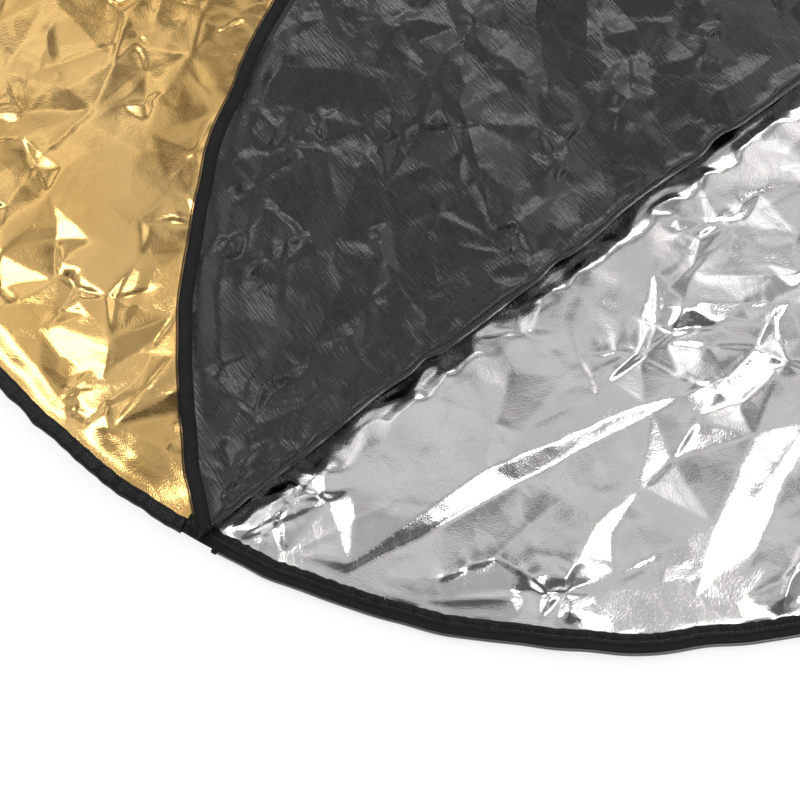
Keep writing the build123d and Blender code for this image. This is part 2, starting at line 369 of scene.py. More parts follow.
silver_pleats = [[(*plan(x, y), h * MM) for x, y, h in edge] for edge in SILVER_PLEATS]
clear = line_samples(silver_pleats, 8 * MM)
silver_creases = [
    crease for crease in crumple(5, spacing=(0.088, 0.056), turn=1.45, stretch=0.55, lengths=(0.028, 0.090),
                                 low=(-0.5, 0.7), high=(2.7, 3.9), kept=lambda u, v: True)
    if min(math.hypot(u - p, v - q) for u, v, _ in crease for p, q in clear) > 14 * MM
]
silver_relief = relief(
    11, silver_creases, silver_pleats, level=lower_level, turn=1.45, big=0.8 * MM, middle=0.32 * MM,
    fine=0.13 * MM, swell=0.7 * MM, ridges=[(*THIN, 1.4, 0.7)])
upper_creases = crumple(6, spacing=(0.086, 0.056), turn=2.2, stretch=0.6, lengths=(0.028, 0.085),
                        low=(-0.4, 0.8), high=(2.8, 4.0), kept=on_fixed_part)
upper_creases += crumple(7, spacing=(0.068, 0.046), turn=0.6, stretch=0.7, lengths=(0.018, 0.055),
                         low=(0.3, 1.1), high=(3.6, 4.6), kept=on_flap_part)
upper_relief = relief(
    23, upper_creases, [], level=upper_level, turn=2.2, big=0.9 * MM, middle=0.45 * MM, fine=0.20 * MM,
    swell=0.5 * MM, ridges=[(*THIN, 2.2, 0.8), (*SOFT, 0.9, 1.2, lambda u, v: u > ROLL_END)],
    crisp=upper_crisp)


def rim_fade(u, v, width=15 * MM):
    """1 over a panel, falling to 0 at its rim, where the binding holds it."""
    return smooth((SHEET - 5 * MM - np.hypot(u, v)) / width)


def settled(h, u, v):
    """Relief that dies out at the rim: its creases close to it, its mean height from further in."""
    return FIXED_LEVEL * rim_fade(u, v, 70 * MM) + (h - FIXED_LEVEL) * (0.05 + 0.95 * rim_fade(u, v))


def soft_limit(h, low, high):
    """Keeps a height between two limits: free in the middle, held back near them."""
    middle, half, free = (high + low) / 2, (high - low) / 2, 0.72
    x = (h - middle) / half
    over = np.maximum(np.abs(x) - free, 0)
    held = (1 - free) * np.tanh(over / (1 - free))
    return middle + half * np.sign(x) * (np.minimum(np.abs(x), free) + held)


def fold_shift(v):
    """How far the rolled fold wanders off its straight line."""
    ends = smooth((math.sin(HALF_FOLD) * RIM - np.abs(v)) / (45 * MM))
    wander = (0.2 + 2.0 * np.sin(v * 23 + 1.0) + 1.2 * np.sin(v * 57) - 4.0 * gathered(v)) * MM
    # No further either way than the roll can go and still close flat.
    return soft_limit(wander, -3.8 * MM, 0.5 * MM) * ends


def near_roll(u):
    """How much of the wander a place takes: all at the roll, none away from it."""
    return np.exp(-((u - ROLL_START) / (22 * MM)) ** 2)


def gathered(v):
    """1 in the gathers of the fold, 0 between them."""
    return sum(np.exp(-((v - at * MM) / (width * MM)) ** 2) for at, width in PINCHES)


def silver_height(u, v):
    """Height of the lower panel over its flat level: inside the hem it can sag towards the diffuser."""
    height = sampled(silver_relief, u, v)
    # It dips under the rolled fold and rises again beside it.
    beside = u - ROLL_START - FOLD_HEIGHT / 2 - fold_shift(v)
    depth = 0.66 + 0.22 * np.sin(v * 71 + 0.5) + 0.16 * np.sin(v * 127 + 2.0)
    reach = (19 + 5 * np.sin(v * 47 + 1.0) + 3 * np.sin(v * 203 + 2)) * MM
    rise = smooth(beside / reach)
    dip = smooth((beside + 60 * MM) / (50 * MM)) * (1 - rise) * depth
    crest = rise * (1 - smooth((beside - reach) / (70 * MM))) * depth
    height = height * (1 - 0.7 * dip) - 2.2 * MM * dip + 2.4 * MM * crest
    height = soft_limit(settled(height, u, v), -2.4 * MM, 4.2 * MM)
    # Zipped up, the roll hangs a little into the silver, which leaves it room.
    slack = np.maximum(fold_shift(v), 0)
    beyond = np.maximum(u - ROLL_MIDDLE, ROLL_MIDDLE - 25 * MM - u)
    ramp = (8 + 12 * depth) * (1 + 0.25 * np.sin(v * 167) + 0.06 * np.sin(v * 411 + 1)) * MM
    room = 0.7 * MM - slack + (4.6 * MM + slack) * smooth(beyond / ramp)
    height = (height + room - np.sqrt((height - room) ** 2 + (0.3 * MM) ** 2)) / 2
    over_hem = smooth((np.hypot(u, v) - 492 * MM) / (18 * MM))
    return height * (1 - over_hem) + np.maximum(height, 0.05 * MM) * over_hem


def upper_height(u, v):
    """Height of the upper panel over its flat level, on its gold side; zipped up, it clears the silver."""
    raw = settled(sampled(upper_relief, u, v), u, v)
    fixed = soft_limit(raw, -1.6 * MM, 4.3 * MM)
    flap = soft_limit(raw, 0.1 * MM, 5.1 * MM)
    in_roll = smooth(1 - np.abs(u - ROLL_MIDDLE) / (ROLL_ARC / 2 + 9 * MM))
    side = smooth((u - ROLL_START) / ROLL_ARC)
    height = (fixed * (1 - side) + flap * side) * (1 - 0.9 * in_roll)
    # The open fold puffs up beside its roll, less where it is gathered.
    past = u - ROLL_MIDDLE
    puff = smooth(past / (11 * MM)) * (1 - smooth((past - 13 * MM) / (34 * MM)))
    swell = (3.4 + 1.2 * np.sin(v * 29 + 1.4)) * MM * (1 - 0.9 * np.minimum(gathered(v), 1)) * rim_fade(u, v)
    # Zipped up, the flap lies on the silver a little further along, by the fold's own wander.
    turned = np.where(u > ROLL_MIDDLE, ROLL_START + ROLL_END - u, u)
    moved = fold_shift(v) * near_roll(turned) * np.where(u > ROLL_MIDDLE, -1, 1)
    return np.maximum(height - puff * swell, silver_height(u + moved, v) - 2.80 * MM)


def folded(u, v, w):
    """A place in the zipped upper panel, w above its middle, to its place in the open fold."""
    angle = np.clip((u - ROLL_START) / ROLL_ARC, 0, 1) * math.pi
    radius = FOLD_HEIGHT / 2 - w
    turned = ROLL_START + radius * np.sin(angle)
    height = UPPER_Z + FOLD_HEIGHT / 2 - radius * np.cos(angle)
    turned = np.where(u < ROLL_START, u, turned)
    turned = np.where(u > ROLL_END, ROLL_START + ROLL_END - u, turned)
    return world(turned + fold_shift(v) * near_roll(turned), v, height)


# ---------------------------------------------------------------- meshes


def new_piece(name, vertices, faces, material):
    """A smooth mesh object from arrays; faces is a list of arrays of corners."""
    mesh = bpy.data.meshes.new(name)
    counts = np.concatenate([np.full(len(f), f.shape[1]) for f in faces])
    corners = np.concatenate([f.ravel() for f in faces])
    mesh.vertices.add(len(vertices))
    mesh.vertices.foreach_set("co", np.asarray(vertices, np.float32).ravel())
    mesh.loops.add(len(corners))
    mesh.loops.foreach_set("vertex_index", corners.astype(np.int32))
    mesh.polygons.add(len(counts))
    starts = np.concatenate([[0], np.cumsum(counts)[:-1]])
    mesh.polygons.foreach_set("loop_start", starts.astype(np.int32))
    mesh.polygons.foreach_set("use_smooth", np.ones(len(counts), bool))
    mesh.update(calc_edges=True)
    mesh.validate()
    mesh.materials.append(material)
    piece = bpy.data.objects.new(name, mesh)
    bpy.context.scene.collection.objects.link(piece)
    return piece


def steps(start, stop, size):
    return np.linspace(start, stop, max(2, int(round((stop - start) / size)) + 1))[:-1]


FINE, COARSE, ROLL_STEP = 1.5 * MM, 3.6 * MM, 1.2 * MM


def grid_lines(low, high, fine_low, fine_high):
    """Lines across a panel: close between two places, wider elsewhere."""
    fine_low, fine_high = max(low, fine_low), min(high, fine_high)
    parts = [steps(fine_low, fine_high, FINE)]
    if fine_low > low:
        parts.insert(0, steps(low, fine_low, COARSE))
    if fine_high < high:
        parts.append(steps(fine_high, high, COARSE))
    return np.concatenate(parts + [[high]])


# The sides of each panel that are seen most closely get the close lines.
SILVER_LINES = (grid_lines(-SHEET, SHEET, 0.17, 0.56), grid_lines(-SHEET, SHEET, -0.56, 0.08))
WHITE_LINES = (np.append(steps(-SHEET, SHEET, 5 * MM), SHEET),) * 2
FIXED_LINES = (
    np.concatenate([grid_lines(-SHEET, ROLL_START - 4 * MM, -0.23, 0.56),
                    steps(ROLL_START - 4 * MM, ROLL_MIDDLE, ROLL_STEP)[1:], [ROLL_MIDDLE]]),
    grid_lines(-SHEET, SHEET, -0.56, -0.2),
)
FLAP_LINES = (
    np.concatenate([steps(ROLL_MIDDLE, ROLL_END + 4 * MM, ROLL_STEP),
                    grid_lines(ROLL_END + 4 * MM, SHEET, 0.1, 0.56)]),
    grid_lines(-SHEET, SHEET, -0.56, 0.1),
)


def panel_grid(lines, flip):
    """Grid of a panel on its lines: its places, and its faces."""
    u, v = np.meshgrid(*lines, indexing="ij")
    du = np.gradient(lines[0])[:, None]
    dv = np.gradient(lines[1])[None, :]
    reach = np.hypot(u, v)
    near = 0.62 * np.maximum(du, dv)
    kept = reach <= SHEET + near
    snap = kept & (reach > SHEET - near)
    scale = np.where(snap, SHEET / np.maximum(reach, MM), 1)
    # Vertices on the fold's middle line stay on it and only slide along it.
    on_line = np.abs(u - ROLL_MIDDLE) < 1e-6
    along = math.sqrt(SHEET ** 2 - ROLL_MIDDLE ** 2)
    v = np.where(on_line & snap, np.sign(v) * along, v * np.where(on_line, 1, scale))
    u = u * np.where(on_line, 1, scale)
    number = -np.ones(u.shape, int)
    number[kept] = np.arange(kept.sum())
    a, b = number[:-1, :-1], number[1:, :-1]
    c, d = number[1:, 1:], number[:-1, 1:]
    whole = (a >= 0) & (b >= 0) & (c >= 0) & (d >= 0)
    faces = np.stack([a[whole], b[whole], c[whole], d[whole]], -1)
    if flip:
        faces = faces[:, [0, 3, 2, 1]]
    used = np.zeros(kept.sum(), bool)
    used[faces.ravel()] = True
    renumber = np.cumsum(used) - 1
    return u[kept][used], v[kept][used], renumber[faces]


def tube_faces(rows, columns):
    """Sides of a tube of closed rows of vertices."""
    i, j = np.meshgrid(np.arange(rows - 1), np.arange(columns), indexing="ij")
    a, b = i * columns + j, i * columns + (j + 1) % columns
    return np.stack([a, b, b + columns, a + columns], -1).reshape(-1, 4)


def ribbon(name, angles, profile, place, material):
    """A closed strip round the rim: profile(angles) gives radii and heights, place puts them."""
    radii, heights = profile(angles)
    rows, columns = radii.shape
    vertices = place(angles[:, None] + 0 * radii, radii, heights).reshape(-1, 3)
    faces = [tube_faces(rows, columns)]
    for ring, order in ((0, -1), (rows - 1, 1)):
        loop = (ring * columns + np.arange(columns))[::order]
        faces.append(loop[None, :])
    return new_piece(name, vertices, faces, material)


def panel_place(angles, radii, heights):
    """Rim angles and radii to panel coordinates."""
    turn = angles - HEADING
    return radii * np.cos(turn), radii * np.sin(turn), heights


def lower_place(angles, radii, heights):
    u, v, w = panel_place(angles, radii + rim_sway(angles), heights + rim_wave(angles))
    return world(u, v, LOWER_Z + w)


def upper_place(angles, radii, heights):
    u, v, w = panel_place(angles, radii + rim_sway(angles), heights + rim_wave(angles))
    return folded(u, v, w)


def still(angles):
    """1 along the rim, 0 by the stops and the parked slider, which keep their places."""
    fade = np.ones_like(angles)
    for at, reach in ((TEETH_START, 10 * MM), (ZIP_END - 14 * MM / RIM, 34 * MM)):
        fade = fade * smooth((np.abs(angles - at) * RIM - reach) / (30 * MM))
    return fade


SWAY = [(31, 0.45, 0.3), (57, 0.3, 1.9), (93, 0.16, 4.1)]       # waves per turn, mm, phase
WAVE = [(19, 0.5, 1.1), (43, 0.35, 2.7), (77, 0.2, 0.4)]
KINKS = [(-88.5, 2.6, 1.1), (-84.0, 2.4, -0.9), (-96.5, 4.0, -0.5)]    # degrees, width, mm


def rim_sway(angles):
    """In-plane wander of the rim."""
    total = sum(size * MM * np.sin(n * angles + phase) for n, size, phase in SWAY)
    for at, width, size in KINKS:
        total = total + size * MM * np.exp(-((np.degrees(angles) - at) / width) ** 2)
    return total * still(angles)


def rim_wave(angles):
    """Up and down wander of the rim."""
    return sum(size * MM * np.sin(n * angles + phase) for n, size, phase in WAVE) * still(angles)


def ruffle(angles, seed, shortest, longest, count=9):
    """Uneven puckers along a sewn tape, about -1 to 1."""
    rng = np.random.default_rng(seed)
    total = np.zeros_like(angles)
    for _ in range(count):
        length = rng.uniform(shortest, longest)
        total += np.sin(angles * RIM / length * 2 * math.pi + rng.uniform(0, 6.28))
    swing = 0.65 + 0.35 * np.sin(angles * RIM / 0.083 + rng.uniform(0, 6.28))
    return total / math.sqrt(count) * swing


def stitches(name, start, stop, radius, height, place, material, length=2.3 * MM, gap=0.9 * MM):
    """A row of thread stitches round the rim."""
    count = int((stop - start) * RIM / (length + gap))
    middles = start + (np.arange(count) + 0.5) * (stop - start) / count
    rng = np.random.default_rng(count)
    pull, sink = rng.normal(0, 0.16 * MM, (2, count, 1, 1))
    spread = rng.uniform(0.75, 1.1, (count, 1, 1))
    along = np.array([-0.5, -0.3, 0, 0.3, 0.5]) * length / RIM
    lift = np.array([-0.25, 0.1, 0.22, 0.1, -0.25]) * MM
    across = np.array([(-0.22, 0), (0, 0.2), (0.22, 0), (0, -0.2)]) * MM
    angles = middles[:, None, None] + spread * along[None, :, None] + 0 * across[None, None, :, 0]
    radii = radius + 0 * angles + across[None, None, :, 0] + pull
    heights = height + 0 * angles + lift[None, :, None] + across[None, None, :, 1] + sink
    vertices = place(angles, radii, heights).reshape(-1, 3)
    rows, columns = len(along), len(across)
    ends = np.array([[3, 2, 1, 0], [rows * columns - 4 + c for c in range(4)]])
    one = np.concatenate([tube_faces(rows, columns), ends])
    faces = (one[None] + (np.arange(count) * rows * columns)[:, None, None]).reshape(-1, 4)
    return new_piece(name, vertices, [faces], material)


def coil(name, start, stop, place, side, material):
    """A zip coil: one nylon thread wound round the tape's edge."""
    turns = int((stop - start) * RIM / PITCH)
    per_turn, wire, corners = 8, 0.33 * MM, 4
    t = np.arange(turns * per_turn + 1) / per_turn
    phase = 2 * math.pi * t
    # Each loop leans along the rim towards its outer end.
    out = np.cos(phase)
    reach, rise = COIL / 2 - wire, COIL_HEIGHT / 2 - wire
    r = RIM - COIL / 2 + reach * out
    h = rise * np.sin(phase) * side
    lean = 0.28 * PITCH * smooth(out)
    angle = start + (t * PITCH + lean) / RIM
    ring = np.arange(corners) * 2 * math.pi / corners
    # The thread's section: one way out from the loop's middle, the other along the rim.
    outward = np.cos(ring)[None, :] * wire
    along = np.sin(ring)[None, :] * wire
    radii = r[:, None] + outward * np.cos(phase)[:, None]
    heights = h[:, None] + outward * np.sin(phase)[:, None] * side
    angles = angle[:, None] + along / RIM
    vertices = place(angles, radii, heights).reshape(-1, 3)
    rows = len(t)
    caps = np.array([[3, 2, 1, 0], [(rows - 1) * corners + c for c in range(4)]])
    return new_piece(name, vertices, [tube_faces(rows, corners), caps], material)


# ---------------------------------------------------------------- materials


def connect(tree, made, inputs):
    """Sets a node's inputs, or links them where the value is another node's output."""
    for key, value in inputs.items():
        if isinstance(value, bpy.types.NodeSocket):
            tree.links.new(value, made.inputs[key])
        else:
            made.inputs[key].default_value = value


def material(name, build):
    """A material: build() makes its nodes and gives the inputs of its Principled shader."""
    made = bpy.data.materials.new(name)
    made.use_nodes = True
    tree = made.node_tree
    connect(tree, tree.nodes["Principled BSDF"], build(tree))
    return made


def node(tree, kind, inputs, **settings):
    """A new node with its settings and its inputs."""
    made = tree.nodes.new(kind)
    for key, value in settings.items():
        setattr(made, key, value)
    connect(tree, made, inputs)
    return made


def object_coords(tree, scale=(1, 1, 1), turn=0.0):
    """Coordinates in metres on the piece, turned about Z and then scaled."""
    return node(tree, "ShaderNodeMapping", {
        "Vector": node(tree, "ShaderNodeTexCoord", {}).outputs["Object"],
        "Scale": tuple(1 / part for part in scale), "Rotation": (0, 0, turn),
    }, vector_type="TEXTURE").outputs["Vector"]


def noise(tree, vector, scale, detail=2.0, rough=0.5):
    return node(tree, "ShaderNodeTexNoise", {
        "Vector": vector, "Scale": scale, "Detail": detail, "Roughness": rough,
    }).outputs["Fac"]


def ramp(tree, value, low, high, to_low, to_high):
    return node(tree, "ShaderNodeMapRange", {
        "Value": value, "From Min": low, "From Max": high, "To Min": to_low, "To Max": to_high,
    }).outputs["Result"]


def maths(tree, operation, a, b):
    return node(tree, "ShaderNodeMath", {0: a, 1: b}, operation=operation).outputs[0]


def vector_maths(tree, operation, *parts):
    return node(tree, "ShaderNodeVectorMath", dict(enumerate(parts)), operation=operation).outputs[0]


def mixed(tree, factor, a, b):
    """Colour between two, by a factor."""
    mix = node(tree, "ShaderNodeMix", {"Factor": factor}, data_type="RGBA")
    connect(tree, mix, {"A": (*a, 1), "B": (*b, 1)})
    return mix.outputs["Result"]


def toned(tree, pattern, low, high, a, b):
    """Colour between two, as a pattern goes from low to high."""
    return mixed(tree, ramp(tree, pattern, low, high, 0, 1), a, b)


def bump(tree, height, distance, strength=1.0, normal=None):
    inputs = {"Height": height, "Distance": distance, "Strength": strength}
    if normal is not None:
        inputs["Normal"] = normal
    return node(tree, "ShaderNodeBump", inputs).outputs["Normal"]


def facet_normals(tree, here, sizes):
    """Small flat facets: each cell of the pattern leans its own way."""
    normal = node(tree, "ShaderNodeNewGeometry", {}).outputs["Normal"]
    for per_metre, lean in sizes:
        wander = node(tree, "ShaderNodeTexNoise", {"Vector": here, "Scale": per_metre * 0.6, "Detail": 2.0})
        shift = vector_maths(tree, "MULTIPLY", wander.outputs["Color"], (0.6 / per_metre,) * 3)
        moved = vector_maths(tree, "ADD", here, shift)
        cells = node(tree, "ShaderNodeTexVoronoi", {"Vector": moved, "Scale": per_metre})
        tilt = vector_maths(tree, "SUBTRACT", cells.outputs["Color"], (0.5, 0.5, 0.5))
        normal = vector_maths(tree, "ADD", normal, vector_maths(tree, "MULTIPLY", tilt, (lean, lean, 0)))
    return vector_maths(tree, "NORMALIZE", normal)


def foil(base, shade):
    """Metallised film on cloth: a mirror with the weave's grain printed through."""
    def build(tree):
        here = object_coords(tree)
        start = facet_normals(tree, object_coords(tree, (1, 0.55, 1), 0.9), [(26, 0.035), (70, 0.03)])
        fibre = noise(tree, object_coords(tree, (1, 0.12, 1), 0.5), 260, 2)
        first = bump(tree, noise(tree, here, 60, 3, 0.55), 0.8 * MM, 0.25, start)
        second = bump(tree, fibre, 0.10 * MM, 0.30, first)
        return {
            "Base Color": toned(tree, noise(tree, here, 14, 3), 0.35, 0.65, base, shade),
            "Metallic": 1.0,
            "Roughness": ramp(tree, noise(tree, here, 30, 3), 0.3, 0.7, 0.09, 0.15),
            "Normal": bump(tree, noise(tree, here, 1000, 2), 0.085 * MM, 0.9, second),
        }
    return build


THREADS = -0.94                   # which way the black cloth's threads run


def black_cloth(tree):
    """Close-woven taffeta, pressed to a low sheen along its threads."""
    here = object_coords(tree)
    warp = noise(tree, object_coords(tree, (0.14, 1, 1), THREADS), 700, 2)
    weft = noise(tree, object_coords(tree, (1, 0.10, 1), THREADS), 800, 2)
    threads = maths(tree, "ADD", warp, maths(tree, "MULTIPLY", weft, 0.45))
    start = facet_normals(tree, object_coords(tree, (1, 0.6, 1), 0.4), [(23, 0.23), (62, 0.11)])
    first = bump(tree, noise(tree, here, 55, 3, 0.55), 0.8 * MM, 0.25, start)
    dark, pale = (0.0115, 0.0115, 0.0119), (0.0170, 0.0170, 0.0174)
    return {
        "Base Color": toned(tree, noise(tree, here, 22, 4, 0.6), 0.3, 0.7, dark, pale),
        "Roughness": ramp(tree, threads, 0.55, 0.95, 0.31, 0.18),
        "Specular IOR Level": 0.65,
        "Normal": bump(tree, threads, 0.32 * MM, 0.9, first),
    }


def pale_cloth(base, shade, through):
    """White taffeta or diffusing nylon: a fine square weave."""
    def build(tree):
        here = object_coords(tree)
        warp = noise(tree, object_coords(tree, (1, 0.05, 1)), 1400, 2)
        weft = noise(tree, object_coords(tree, (0.05, 1, 1)), 1400, 2)
        threads = maths(tree, "MAXIMUM", warp, weft)
        first = bump(tree, noise(tree, here, 55, 3), 0.8 * MM, 0.25)
        return {
            "Base Color": toned(tree, noise(tree, here, 18, 4), 0.3, 0.7, base, shade),
            "Roughness": 0.72,
            "Transmission Weight": through,
            "Sheen Weight": 0.15,
            "Normal": bump(tree, threads, 0.12 * MM, 0.5, first),
        }
    return build


def black_tape(rib, gloss):
    """Woven polyester tape: a crumple and a finer grain of yarns."""
    def build(tree):
        here = object_coords(tree)
        dark, pale = (0.003, 0.003, 0.0033), (0.008, 0.008, 0.0086)
        crumpled = bump(tree, noise(tree, here, 190, 3, 0.6), 0.9 * MM, 0.6)
        return {
            "Base Color": toned(tree, noise(tree, here, 120, 4, 0.6), 0.3, 0.7, dark, pale),
            "Roughness": gloss,
            "Specular IOR Level": 0.28,
            "Normal": bump(tree, noise(tree, here, rib, 3, 0.6), 0.30 * MM, 0.7, crumpled),
        }
    return build


def nylon_thread(tree):
    """Black nylon monofilament, a little worn to grey."""
    worn = noise(tree, object_coords(tree), 400, 3)
    return {
        "Base Color": toned(tree, worn, 0.4, 0.7, (0.006, 0.006, 0.0065), (0.022, 0.022, 0.023)),
        "Roughness": 0.38,
        "Specular IOR Level": 0.3,
        "Normal": bump(tree, worn, 0.05 * MM, 0.4),
    }


def thread(tree):
    """Sewing thread, twisted."""
    twist = noise(tree, object_coords(tree), 1800, 2)
    return {
        "Base Color": toned(tree, twist, 0.35, 0.65, (0.020, 0.020, 0.021), (0.085, 0.085, 0.088)),
        "Roughness": 0.6,
        "Normal": bump(tree, twist, 0.1 * MM, 0.7),
    }


def enamel(tree):
    """Black enamel on die-cast zinc, thinner and greyer where it is rubbed."""
    here = object_coords(tree)
    rubbed = ramp(tree, noise(tree, here, 700, 4, 0.7), 0.5, 0.75, 0, 1)
    return {
        "Base Color": mixed(tree, rubbed, (0.018, 0.018, 0.020), (0.075, 0.075, 0.08)),
        "Roughness": ramp(tree, rubbed, 0, 1, 0.26, 0.42),
        "Coat Weight": 0.4,
        "Normal": bump(tree, noise(tree, here, 1200, 2), 0.03 * MM, 0.4),
    }


def bare_metal(base, shade, rough):
    """Pressed or rolled metal, brushed along its length."""
    def build(tree):
        here = object_coords(tree)
        brushed = noise(tree, object_coords(tree, (1, 1, 14)), 500, 2)
        return {
            "Base Color": toned(tree, noise(tree, here, 160, 4), 0.3, 0.7, base, shade),
            "Metallic": 1.0,
            "Roughness": ramp(tree, noise(tree, here, 300, 3), 0.3, 0.7, rough, rough + 0.14),
            "Normal": bump(tree, brushed, 0.04 * MM, 0.4),
        }
    return build


GOLD = material("gold_foil", foil((0.92, 0.605, 0.24), (0.885, 0.555, 0.195)))
SILVER = material("silver_foil", foil((0.90, 0.885, 0.87), (0.86, 0.84, 0.82)))
BLACK = material("black_cloth", black_cloth)
WHITE = material("white_cloth", pale_cloth((0.80, 0.80, 0.79), (0.74, 0.74, 0.73), 0.0))
DIFFUSER = material("diffuser_cloth", pale_cloth((0.86, 0.86, 0.855), (0.80, 0.80, 0.795), 0.25))
TAPE_CLOTH = material("zip_tape", black_tape(1100, 0.62))
BINDING = material("binding_tape", black_tape(700, 0.40))
NYLON = material("zip_coil", nylon_thread)
THREAD = material("thread", thread)
ENAMEL = material("slider_metal", enamel)
STOPS = material("stop_metal", bare_metal((0.60, 0.61, 0.63), (0.50, 0.51, 0.53), 0.30))
BLACKENED = material("blackened_stop", bare_metal((0.030, 0.030, 0.032), (0.016, 0.016, 0.017), 0.40))
STEEL = material("spring_steel", bare_metal((0.42, 0.44, 0.48), (0.34, 0.36, 0.40), 0.28))


# ---------------------------------------------------------------- the panels


COUNT_START = -math.pi / 2 - 2.0  # rim angle on the closed seam from which a panel's angles count


def rim_wander(u, v):
    """What the rim's wander does to a panel near it: how far it rises, and its stretch outwards."""
    angles = np.arctan2(v, u) + HEADING
    angles = np.where(angles < COUNT_START, angles + 2 * math.pi, angles)
    reach = np.hypot(u, v)
    edge = smooth((reach - (SHEET - 40 * MM)) / (40 * MM))
    return edge * rim_wave(angles), 1 + edge * rim_sway(angles) / np.maximum(reach, MM)


def lower_sheet(name, lines, offset, flip, cloth, node_name):
    """One face of the lower panel."""
    u, v, faces = panel_grid(lines, flip)
    rise, out = rim_wander(u, v)
    lift = silver_height(u, v) + rise
    reach = np.hypot(u, v)
    on_hem = -0.02 * MM - 2 * MM * smooth((reach - HEM_R) / (6 * MM))
    lift = np.where(reach > HEM_R - 24 * MM, np.maximum(lift, on_hem), lift)
    piece = new_piece(name, world(u * out, v * out, LOWER_Z + lift + offset), [faces], cloth)
    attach(piece, "cover")
    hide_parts(node_name)


def upper_sheet(name, flap, offset, flip, cloth, nodes):
    """One face of the upper panel: its fixed part, or the folded flap."""
    u, v, faces = panel_grid(FLAP_LINES if flap else FIXED_LINES, flip)
    rise, out = rim_wander(u, v)
    lift = upper_height(u, v) + rise + offset
    piece = new_piece(name, folded(u * out, v * out, lift), [faces], cloth)
    bend(piece, flap)
    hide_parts(*nodes)


def bend(piece, flap):
    """Bakes an upper-panel piece's transform into its mesh, the same way on the flap as off it."""
    if flap:
        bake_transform(piece)
    else:
        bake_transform(piece)


lower_sheet("silver_foil_panel", SILVER_LINES, HALF_PLY, False, SILVER, "silver_sheet")
lower_sheet("white_cloth_panel", WHITE_LINES, -HALF_PLY - 0.35 * MM, True, WHITE,
            "white_sheet")
upper_sheet("gold_foil_panel", False, HALF_PLY, False, GOLD, ["gold_sheet"])
upper_sheet("black_lining_panel", False, -HALF_PLY, True, BLACK, ["black_lining"])
upper_sheet("flap_gold_foil", True, HALF_PLY, False, GOLD,
            ["flap_gold_sheet", "fold_gold_sheet"])
upper_sheet("flap_black_lining_cloth", True, -HALF_PLY, True, BLACK,
            ["flap_black_lining", "fold_black_lining"])


# ---------------------------------------------------------------- bindings, tapes and coils

BINDING_IN, BINDING_OUT = PANEL - 4 * MM, PANEL + 3.5 * MM
BINDING_THICK = 0.8 * MM


def rows_of(points, angles):
    """The same closed section at every angle."""
    radii = np.array([p[0] for p in points])[None, :] + 0 * angles[:, None]
    heights = np.array([p[1] for p in points])[None, :] + 0 * angles[:, None]
    return radii, heights


def from_place(radius, height, *points):
    """Points of a section, in millimetres from one of its places."""
    return [(radius + outward * MM, height + upward * MM) for outward, upward in points]


def edge_binding(seed, base, side):
    """Section of a puckered binding on one face of a panel; side is +1 upwards."""
    inner, outer, thick = BINDING_IN, BINDING_OUT, BINDING_THICK
    points = [
        (inner + 0.3 * MM, 0.02 * MM), (inner, 0.35 * MM), (inner + 0.5 * MM, thick),
        (inner + 1.8 * MM, thick * 1.05), (inner + 3.6 * MM, thick * 0.9), (inner + 4.9 * MM, thick * 0.55),
        (inner + 6.0 * MM, thick * 0.85), (outer - 0.3 * MM, thick * 0.8), (outer, 0.3 * MM),
        (outer - 0.3 * MM, 0.02 * MM),
    ]

    def profile(angles):
        radii, heights = rows_of(points, angles)
        pucker = ruffle(angles, seed, 5 * MM, 15 * MM)[:, None]
        crimp = ruffle(angles, seed + 1, 2.5 * MM, 5 * MM)[:, None]
        loose = smooth((outer - radii) / (outer - inner))
        top = smooth(heights / thick)
        heights = heights + top * loose * (0.55 * MM * pucker + 0.34 * MM * crimp + 0.40 * MM)
        radii = radii - loose * (0.55 * MM * ruffle(angles, seed + 2, 5 * MM, 20 * MM)[:, None])
        return radii, base + side * heights
    return profile


def tape_section(angles):
    half = 0.25 * MM
    inner, outer = PANEL - 1 * MM, RIM - COIL + 0.6 * MM
    points = [(inner, -half), (inner, half), (inner + 3.6 * MM, half * 1.1), (outer - 2.0 * MM, half),
              (outer - 1.0 * MM, half * 1.7), (outer, half), (outer, -half), (outer - 2.0 * MM, -half)]
    radii, heights = rows_of(points, angles)
    heights = heights + 0.10 * MM * ruffle(angles, 77, 6 * MM, 20 * MM)[:, None]
    return radii, heights


def seam_section(angles):
    """The bias binding folded over both panels' edges, puckered on both faces."""
    inner, outer = RIM - 10 * MM, RIM
    bottom, top = -PLY - 0.7 * MM, UPPER_Z - LOWER_Z + PLY + 0.7 * MM
    points = [
        *from_place(inner, top, (0.5, -0.7), (0, -0.2), (0.6, 0.15), (2.2, 0.2), (3.4, -0.25), (5.0, 0.1)),
        *from_place(outer, top, (-2.0, -0.3), (-0.6, -1.2)),
        (outer, (top + bottom) / 2),
        *from_place(outer, bottom, (-0.6, 1.2), (-2.0, 0.2)),
        *from_place(inner, bottom, (5.0, 0), (3.4, 0.3), (0.6, 0), (0, 0.3), (0.5, 0.7)),
        *from_place(outer, bottom, (-1.6, 0.9)),
        *from_place(outer, top, (-1.6, -0.9)),
    ]
    radii, heights = rows_of(points, angles)
    pucker = ruffle(angles, 5, 7 * MM, 20 * MM)[:, None]
    crimp = ruffle(angles, 6, 3 * MM, 6 * MM)[:, None]
    upper = smooth((heights - bottom) / (top - bottom))
    heights = heights + (2 * upper - 1) * (0.5 * MM * pucker + 0.22 * MM * crimp + 0.15 * MM)
    bulge = smooth((radii - inner) / (outer - inner))
    radii = radii - (1 - bulge) * 0.6 * MM * ruffle(angles, 8, 8 * MM, 26 * MM)[:, None]
    radii = radii + bulge * 0.7 * MM * ruffle(angles, 9, 12 * MM, 40 * MM)[:, None]
    return radii, heights


